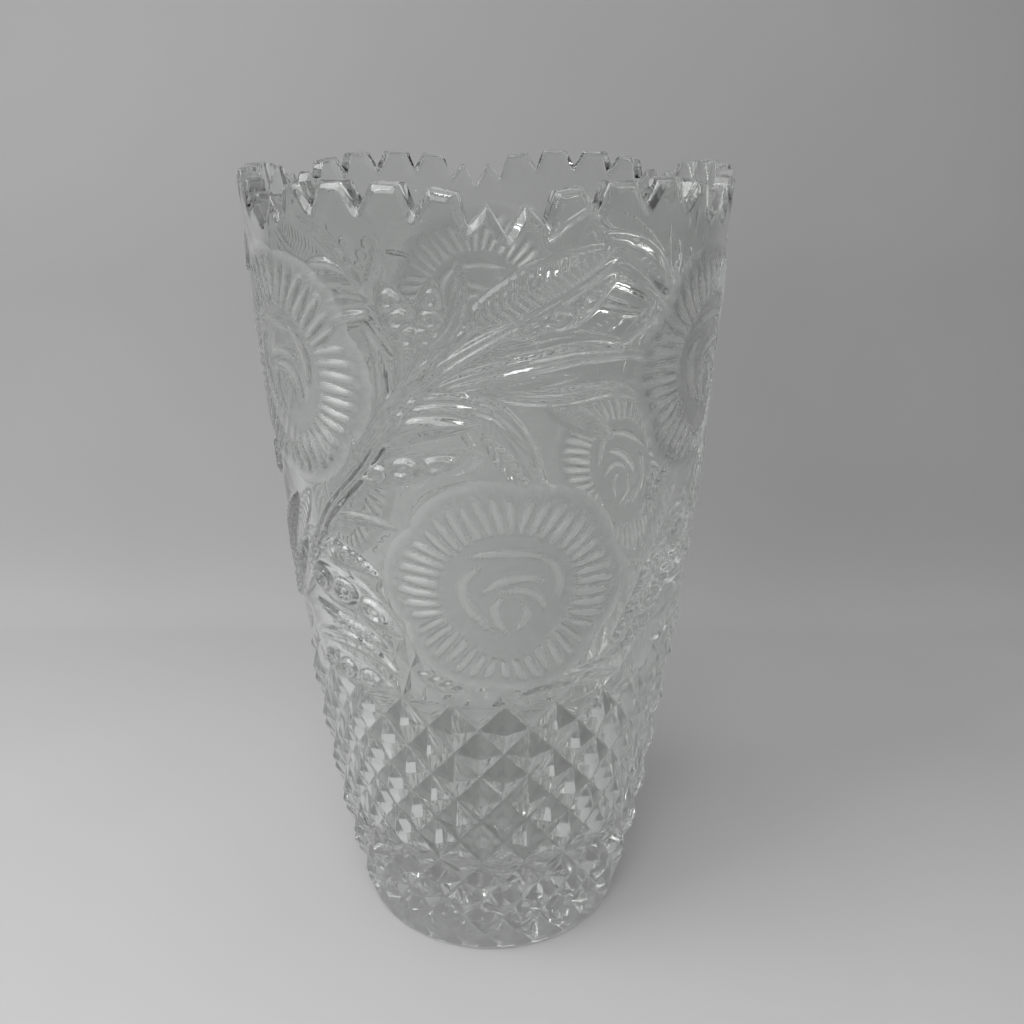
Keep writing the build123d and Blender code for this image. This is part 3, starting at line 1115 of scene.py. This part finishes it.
def mesh_from_arrays(name: str, points: np.ndarray, faces: list[np.ndarray]) -> bpy.types.Mesh:
    """Makes a smooth-shaded mesh from arrays of points and faces.

    Args:
        name: the mesh's name.
        points: coordinates, one row each.
        faces: arrays of point numbers, one for each number of corners.

    Returns:
        The new mesh.
    """
    mesh = bpy.data.meshes.new(name)
    mesh.vertices.add(len(points))
    mesh.vertices.foreach_set("co", points.astype(np.float32).ravel())
    corners = np.concatenate([rows.ravel() for rows in faces])
    sizes = np.concatenate([np.full(len(rows), rows.shape[1]) for rows in faces])
    mesh.loops.add(len(corners))
    mesh.loops.foreach_set("vertex_index", corners.astype(np.int32))
    mesh.polygons.add(len(sizes))
    starts = np.concatenate([[0], np.cumsum(sizes)[:-1]])
    mesh.polygons.foreach_set("loop_start", starts.astype(np.int32))
    mesh.update(calc_edges=True)
    mesh.validate()
    mesh.shade_smooth()
    return mesh


@dataclass(frozen=True)
class Wiring:
    """Fills one node tree, so that each node is made, set and linked in one step.

    Args:
        tree: the node tree to fill.
    """

    tree: bpy.types.NodeTree

    @classmethod
    def emptied(cls, material: bpy.types.Material) -> "Wiring":
        """The wiring of a material whose standard nodes are cleared away."""
        material.use_nodes = True
        material.node_tree.nodes.clear()
        return cls(material.node_tree)

    def feed(self, node: bpy.types.Node, inputs: dict) -> None:
        """Fills a node's inputs.

        Args:
            node: the node.
            inputs: a value, or another node's output to link, for each input's name or number.
        """
        for key, value in inputs.items():
            if isinstance(value, bpy.types.NodeSocket):
                self.tree.links.new(value, node.inputs[key])
            else:
                node.inputs[key].default_value = value

    def node(self, kind: str, inputs: Optional[dict] = None, **settings: object) -> bpy.types.Node:
        """Adds a node.

        Args:
            kind: the node's type.
            inputs: what its inputs get, as in feed.
            settings: the node's own properties.

        Returns:
            The new node.
        """
        node = self.tree.nodes.new(kind)
        for name, value in settings.items():
            setattr(node, name, value)
        self.feed(node, inputs or {})
        return node

    def ramp(self, factor: bpy.types.NodeSocket, stops: Iterable[tuple[float, tuple]],
             interpolation: str = "LINEAR") -> bpy.types.NodeSocket:
        """Adds a colour ramp.

        Args:
            factor: the output that runs along the ramp.
            stops: place and colour of each stop.
            interpolation: how colours blend between stops.

        Returns:
            The ramp's colour.
        """
        node = self.node("ShaderNodeValToRGB", {"Fac": factor})
        node.color_ramp.interpolation = interpolation
        elements = node.color_ramp.elements
        for number, (position, colour) in enumerate(stops):
            stop = elements[number] if number < len(elements) else elements.new(position)
            stop.position = position
            stop.color = (*colour, 1)
        return node.outputs["Color"]

    def grain(self, scale: "float | bpy.types.NodeSocket", detail: float,
              roughness: float = 0.5) -> bpy.types.NodeSocket:
        """Adds noise over the object's own coordinates and returns its value.

        Args:
            scale: scale of the noise, or an output that gives it.
            detail: octaves of finer noise.
            roughness: how strongly they show.

        Returns:
            The noise's value.
        """
        place = self.node("ShaderNodeTexCoord").outputs["Object"]
        noise = {"Vector": place, "Scale": scale, "Detail": detail, "Roughness": roughness}
        return self.node("ShaderNodeTexNoise", noise).outputs["Fac"]


class NodeGroups:
    """Shared surface effects, each built once as a shader node group."""

    @staticmethod
    def begun(name: str, inputs: dict[str, float], outputs: Iterable[str]) -> Wiring:
        """Starts a group with named inputs and outputs.

        Args:
            name: the group's name.
            inputs: standard value of each input.
            outputs: names of the outputs.

        Returns:
            The wiring of the new group.
        """
        group = bpy.data.node_groups.new(name, "ShaderNodeTree")
        made = group.interface.new_socket
        for label, value in inputs.items():
            made(label, in_out="INPUT", socket_type="NodeSocketFloat").default_value = value
        for label in outputs:
            made(label, in_out="OUTPUT", socket_type="NodeSocketFloat")
        return Wiring(group)

    @classmethod
    def handling_marks(cls) -> bpy.types.NodeTree:
        """Faint wipe marks and dust that vary a polished surface's roughness.

        Returns:
            A group with inputs Scale, Clean, Marked and Strength, and outputs Roughness and Mask.
        """
        name = "handling marks"
        if name in bpy.data.node_groups:
            return bpy.data.node_groups[name]
        inputs = {"Scale": 60.0, "Clean": 0.01, "Marked": 0.06, "Strength": 1.0}
        wiring = cls.begun(name, inputs, ("Roughness", "Mask"))
        given = wiring.node("NodeGroupInput").outputs
        mask = wiring.node("ShaderNodeMapRange", {
            "Value": wiring.grain(given["Scale"], 4.0, 0.6), "From Min": 0.5, "From Max": 0.75,
        }, interpolation_type="SMOOTHSTEP").outputs["Result"]
        spread = wiring.node("ShaderNodeMapRange", {
            "Value": mask, "To Min": given["Clean"], "To Max": given["Marked"],
        }).outputs["Result"]
        scaled = wiring.node("ShaderNodeMath", {0: spread, 1: given["Strength"]}, operation="MULTIPLY")
        wiring.node("NodeGroupOutput", {"Roughness": scaled.outputs["Value"], "Mask": mask})
        return wiring.tree

    @classmethod
    def pressed_surface(cls) -> bpy.types.NodeTree:
        """The slight waviness that pressing and polishing leave in glass.

        Returns:
            A group with inputs Scale and Amount, and an output Height.
        """
        name = "pressed surface"
        if name in bpy.data.node_groups:
            return bpy.data.node_groups[name]
        wiring = cls.begun(name, {"Scale": 90.0, "Amount": 0.5}, ("Height",))
        given = wiring.node("NodeGroupInput").outputs
        waves = wiring.grain(given["Scale"], 1.5)
        scaled = wiring.node("ShaderNodeMath", {0: waves, 1: given["Amount"]}, operation="MULTIPLY")
        wiring.node("NodeGroupOutput", {"Height": scaled.outputs["Value"]})
        return wiring.tree


@dataclass(frozen=True)
class GlassFinish:
    """A finish of the crystal: one refracting shader that lets light fall through.

    Args:
        name: the material's name.
        colour: tint of the glass.
        transmission: share of light that passes into the glass.
        ior: index of refraction.
        clean: roughness where the surface is clean.
        marked: roughness where it is marked.
        marks_scale: scale of the marks, per metre.
        wave_scale: scale of the surface's waviness, per metre.
        wave_depth: depth of the waviness, in metres.
        shade: share of light stopped on its way to what lies behind.
        frosted: True if the finish fades out where the mesh's frost does.
    """

    name: str
    colour: tuple[float, float, float]
    transmission: float = 1.0
    ior: float = 1.54
    clean: float = 0.005
    marked: float = 0.04
    marks_scale: float = 45.0
    wave_scale: float = 110.0
    wave_depth: float = 0.00002
    shade: float = 0.27
    frosted: bool = False

    # Tone of the glass from no frosting to full frosting, as place and share of its colour: painted
    # shade where half frosted, in the hollows and centre, and a painted highlight where fully frosted,
    # on the crests.
    FROST_AND_LIGHT_TONES = ((0.0, 0.93), (0.3, 0.83), (0.5, 0.77), (1.0, 1.02))

    def material(self) -> bpy.types.Material:
        """Builds the material.

        Returns:
            The new material.
        """
        material = bpy.data.materials.new(self.name)
        wiring = Wiring.emptied(material)
        glass = wiring.node("ShaderNodeBsdfPrincipled", {
            "Base Color": (*self.colour, 1), "Metallic": 0.0,
            "Transmission Weight": self.transmission, "IOR": self.ior,
        })
        self.dress(wiring, glass)
        passed = 1 - self.shade
        clear = wiring.node("ShaderNodeBsdfTransparent", {"Color": (passed, passed, passed, 1)})
        path = wiring.node("ShaderNodeLightPath").outputs
        either = wiring.node("ShaderNodeMath", {
            0: path["Is Shadow Ray"], 1: path["Is Diffuse Ray"],
        }, operation="MAXIMUM")
        mix = wiring.node("ShaderNodeMixShader", {
            "Fac": either.outputs["Value"], 1: glass.outputs["BSDF"], 2: clear.outputs["BSDF"],
        })
        wiring.node("ShaderNodeOutputMaterial", {"Surface": mix.outputs["Shader"]})
        return material

    def dress(self, wiring: Wiring, glass: bpy.types.Node) -> None:
        """Adds wipe marks and waviness, and where the glass is frosted, its tone with painted shade in
        the hollows and a painted highlight on the crests.

        Args:
            wiring: the material's wiring.
            glass: its shader.
        """
        marks = wiring.node("ShaderNodeGroup", {
            "Scale": self.marks_scale, "Clean": self.clean, "Marked": self.marked,
        }, node_tree=NodeGroups.handling_marks())
        if self.frosted:
            frost_and_light = wiring.node("ShaderNodeAttribute", attribute_name="frost_and_light").outputs["Fac"]
            # painted light: darker painted shade where half frosted, a painted highlight where fully
            # frosted
            tones = [
                (place, tuple(share * part for part in self.colour))
                for place, share in self.FROST_AND_LIGHT_TONES
            ]
            wiring.feed(marks, {"Strength": frost_and_light})
            wiring.feed(glass, {"Base Color": wiring.ramp(frost_and_light, tones)})
        wave = wiring.node("ShaderNodeGroup", {
            "Scale": self.wave_scale, "Amount": 1.0,
        }, node_tree=NodeGroups.pressed_surface())
        bump = wiring.node("ShaderNodeBump", {
            "Distance": self.wave_depth, "Height": wave.outputs["Height"],
        })
        wiring.feed(glass, {
            "Roughness": marks.outputs["Roughness"], "Normal": bump.outputs["Normal"],
        })


CLEAR_CRYSTAL = GlassFinish("clear crystal", (0.945, 0.960, 0.949))
THICK_CRYSTAL = GlassFinish("thick clear crystal", (0.860, 0.882, 0.866))
FROSTED_CRYSTAL = GlassFinish(
    "frosted crystal", (0.955, 0.97, 0.96), transmission=0.85, clean=0.42, marked=0.52,
    marks_scale=150.0, wave_scale=2600.0, shade=0.28, frosted=True,
)


@dataclass(frozen=True)
class PaperSweep:
    """Pale matt paper that runs along the floor and bends up behind the vase.

    Args:
        half_width: half the paper's width, in metres.
        front: its front edge, in metres behind the axis.
        back: how far behind the axis it stands upright.
        bend: depth of the bend, from floor to upright.
        rise: height of the bend.
        top: its upper edge.
        bend_steps: flat strips in the bend.
    """

    half_width: float = 2.0
    front: float = -2.0
    back: float = 0.26
    bend: float = 0.08
    rise: float = 0.17
    top: float = 1.6
    bend_steps: int = 12

    TINTS = ((0.545, 0.54, 0.535, 1), (0.60, 0.595, 0.585, 1))
    # painted shade: away from the vase the paper is dimmed, as if the lights fell off
    FAR_SHADE_TONE = (0.17, 0.17, 0.17, 1)
    FAR_START, FAR_END = 0.42, 0.75      # distances from the axis where painted shade fades the paper to the dim tone
    WORN_START, WORN_END = -0.10, 0.50   # where the painted shade starts and ends, along floor and wall
    # painted shade: the paper darkens towards the bend and stays dimmer up the wall
    PAINTED_SHADE_TONES = ((0.0, 1.0), (0.25, 0.92), (0.48, 0.78), (0.60, 0.70), (0.72, 0.75), (0.9, 0.79))

    def mesh(self) -> bpy.types.Mesh:
        """The floor and the wall behind it in one smooth bend."""
        start = self.back - self.bend
        profile = [(self.front, 0.0), (start, 0.0)]
        for step in range(1, self.bend_steps + 1):
            a = math.radians(90.0 * step / self.bend_steps)
            profile.append((start + self.bend * math.sin(a), self.rise * (1 - math.cos(a))))
        profile.append((self.back, self.top))
        points = np.array([(side * self.half_width, y, z) for side in (-1, 1) for y, z in profile])
        left = np.arange(len(profile) - 1)
        right = left + len(profile)
        return mesh_from_arrays(
            "pale_sweep", points, [np.column_stack([left, right, right + 1, left + 1])])

    def material(self) -> bpy.types.Material:
        """Faintly marked paper with painted shade, darker towards the bend and away from the vase; its
        back lets light and view through.
        """
        material = bpy.data.materials.new("pale paper")
        wiring = Wiring.emptied(material)
        place = wiring.node("ShaderNodeTexCoord").outputs["Object"]
        tint = wiring.node("ShaderNodeMix", data_type="RGBA")
        wiring.feed(tint, {"Factor": wiring.grain(9.0, 5.0), "A": self.TINTS[0], "B": self.TINTS[1]})
        along = wiring.node("ShaderNodeVectorMath", {0: place, 1: (0, 1, 1)}, operation="DOT_PRODUCT")
        climb = wiring.node("ShaderNodeMapRange", {
            "Value": along.outputs["Value"], "From Min": self.WORN_START, "From Max": self.WORN_END,
        })
        # painted shade along floor and wall, darkest at the bend
        tones = [(stop, (tone, tone * 1.006, tone * 1.025)) for stop, tone in self.PAINTED_SHADE_TONES]
        painted_shade = wiring.ramp(climb.outputs["Result"], tones, "B_SPLINE")
        dimmed = wiring.node("ShaderNodeMix", data_type="RGBA", blend_type="MULTIPLY")
        wiring.feed(dimmed, {"Factor": 1.0, "A": tint.outputs["Result"], "B": painted_shade})
        # painted shade that dims the paper away from the vase
        reach = wiring.node("ShaderNodeVectorMath", {0: place}, operation="LENGTH")
        far = wiring.node("ShaderNodeMapRange", {
            "Value": reach.outputs["Value"], "From Min": self.FAR_START, "From Max": self.FAR_END,
        }, interpolation_type="SMOOTHSTEP")
        fade = wiring.node("ShaderNodeMix", data_type="RGBA")
        wiring.feed(fade, {
            "Factor": far.outputs["Result"], "A": dimmed.outputs["Result"], "B": self.FAR_SHADE_TONE,
        })
        paper = wiring.node("ShaderNodeBsdfDiffuse", {"Color": fade.outputs["Result"]})
        clear = wiring.node("ShaderNodeBsdfTransparent")
        behind = wiring.node("ShaderNodeNewGeometry").outputs["Backfacing"]
        mix = wiring.node("ShaderNodeMixShader", {
            "Fac": behind, 1: paper.outputs["BSDF"], 2: clear.outputs["BSDF"],
        })
        wiring.node("ShaderNodeOutputMaterial", {"Surface": mix.outputs["Shader"]})
        return material


@dataclass(frozen=True)
class Softbox:
    """A rectangular light that looks at the middle of the vase.

    Args:
        name: the light's name.
        place: where it stands, in metres.
        size: its sides, in metres.
        power: its power, in watts.
    """

    name: str
    place: tuple[float, float, float]
    size: tuple[float, float]
    power: float

    def switch_on(self, aim_height: float) -> None:
        """Makes the light and points it at a height on the axis.

        Args:
            aim_height: the height, in metres.
        """
        data = bpy.data.lights.new(self.name, "AREA")
        data.shape = "RECTANGLE"
        data.size, data.size_y = self.size
        data.energy = self.power
        light = bpy.data.objects.new(self.name, data)
        bpy.context.scene.collection.objects.link(light)
        light.location = self.place
        aim = Vector((0, 0, aim_height)) - light.location
        light.rotation_euler = aim.to_track_quat("-Z", "Y").to_euler()


@dataclass(frozen=True)
class Studio:
    """A pale sweep, soft lights in a pale room with a bright ceiling, and the camera.

    Args:
        form: the vase's profile.
        lens: focal length for a 36 mm sensor, in millimetres.
        distance: camera's distance from the axis, in rim radii.
        rise: camera's height above the rim, in rim radii.
        pitch: how far the camera looks down, in degrees.
        yaw: how far it is turned to the right of the axis, in degrees.
        around: how far it stands round from the front, in degrees.
    """

    form: VaseForm
    lens: float = 37.62
    distance: float = 4.570
    rise: float = 0.299
    pitch: float = 21.82
    yaw: float = 1.26
    around: float = -3.6

    LIGHTS = (
        Softbox("overhead softbox", (-0.80, -0.25, 0.90), (0.7, 0.7), 7.6),
        Softbox("front panel", (-0.60, -0.85, 0.75), (0.8, 0.6), 4.3),
        Softbox("small key", (-0.06, -0.50, 1.05), (0.20, 0.20), 1.7),
    )

    def camera(self) -> None:
        """Makes the camera and makes it the scene's."""
        data = bpy.data.cameras.new("viewing camera")
        data.lens = self.lens
        data.sensor_width = 36.0
        data.clip_start = 0.01
        camera = bpy.data.objects.new("viewing camera", data)
        bpy.context.scene.collection.objects.link(camera)
        a = math.radians(self.around)
        reach = self.distance * self.form.rim_radius
        height = self.form.height + self.rise * self.form.rim_radius
        camera.location = (reach * math.sin(a), -reach * math.cos(a), height)
        turn = math.radians(self.around - self.yaw)
        camera.rotation_euler = (math.radians(90 - self.pitch), 0, turn)
        bpy.context.scene.camera = camera

    def sweep(self) -> None:
        """Rolls out the paper, square to the camera."""
        paper = PaperSweep()
        sweep = bpy.data.objects.new("pale_sweep", paper.mesh())
        bpy.context.scene.collection.objects.link(sweep)
        sweep.rotation_euler.z = math.radians(self.around - self.yaw)
        sweep.data.materials.append(paper.material())

    def lights(self) -> None:
        """Makes the lights, and a room that is dim below and bright straight overhead."""
        for softbox in self.LIGHTS:
            softbox.switch_on(self.form.height / 2)
        world = bpy.data.worlds.new("pale room")
        world.use_nodes = True
        wiring = Wiring(world.node_tree)
        place = wiring.node("ShaderNodeTexCoord").outputs["Generated"]
        up = wiring.node("ShaderNodeSeparateXYZ", {"Vector": place}).outputs["Z"]
        walls = wiring.node("ShaderNodeMapRange", {
            "Value": up, "From Min": -0.2, "From Max": 1.0, "To Min": 0.05, "To Max": 0.14,
        })
        ceiling = wiring.node("ShaderNodeMapRange", {
            "Value": up, "From Min": 0.82, "From Max": 0.90, "To Max": 1.0,
        }, interpolation_type="SMOOTHSTEP")
        total = wiring.node("ShaderNodeMath", {
            0: walls.outputs["Result"], 1: ceiling.outputs["Result"],
        })
        wiring.feed(world.node_tree.nodes["Background"], {"Color": total.outputs["Value"]})
        bpy.context.scene.world = world

    def view_settings(self) -> None:
        """Sets how light passes through many layers of glass, and a plain colour response."""
        scene = bpy.context.scene
        scene.view_settings.view_transform = "Standard"
        scene.cycles.max_bounces = 32
        scene.cycles.transmission_bounces = 28
        scene.cycles.transparent_max_bounces = 24
        scene.cycles.glossy_bounces = 12
        scene.cycles.diffuse_bounces = 3
        scene.cycles.caustics_reflective = False
        scene.cycles.caustics_refractive = False


def place_pieces(pieces: dict[str, bpy.types.Object]) -> None:
    """Dresses each piece and ties it to the frame.

    Args:
        pieces: the objects by the name of the region or motif they show.
    """
    clear, thick, frosted = (
        finish.material() for finish in (CLEAR_CRYSTAL, THICK_CRYSTAL, FROSTED_CRYSTAL)
    )
    for name, piece in pieces.items():
        is_rose = name.startswith("rose")
        is_thick = name in (Region.BASE.value, Region.DIAMONDS.value)
        piece.data.materials.append(frosted if is_rose else thick if is_thick else clear)
        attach(piece, "root")
        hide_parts(name)
        log.info("%s: %d faces", piece.name, len(piece.data.polygons))


def main() -> None:
    """Builds the vase and the studio."""
    logging.basicConfig(level=logging.INFO, format="%(name)s: %(message)s")
    form = VaseForm.from_frame()
    studio = Studio(form)
    studio.camera()
    studio.sweep()
    studio.lights()
    studio.view_settings()
    vase = CrystalVase(form)
    vase.build()
    place_pieces(vase.pieces())


if __name__ == "__main__":
    main()
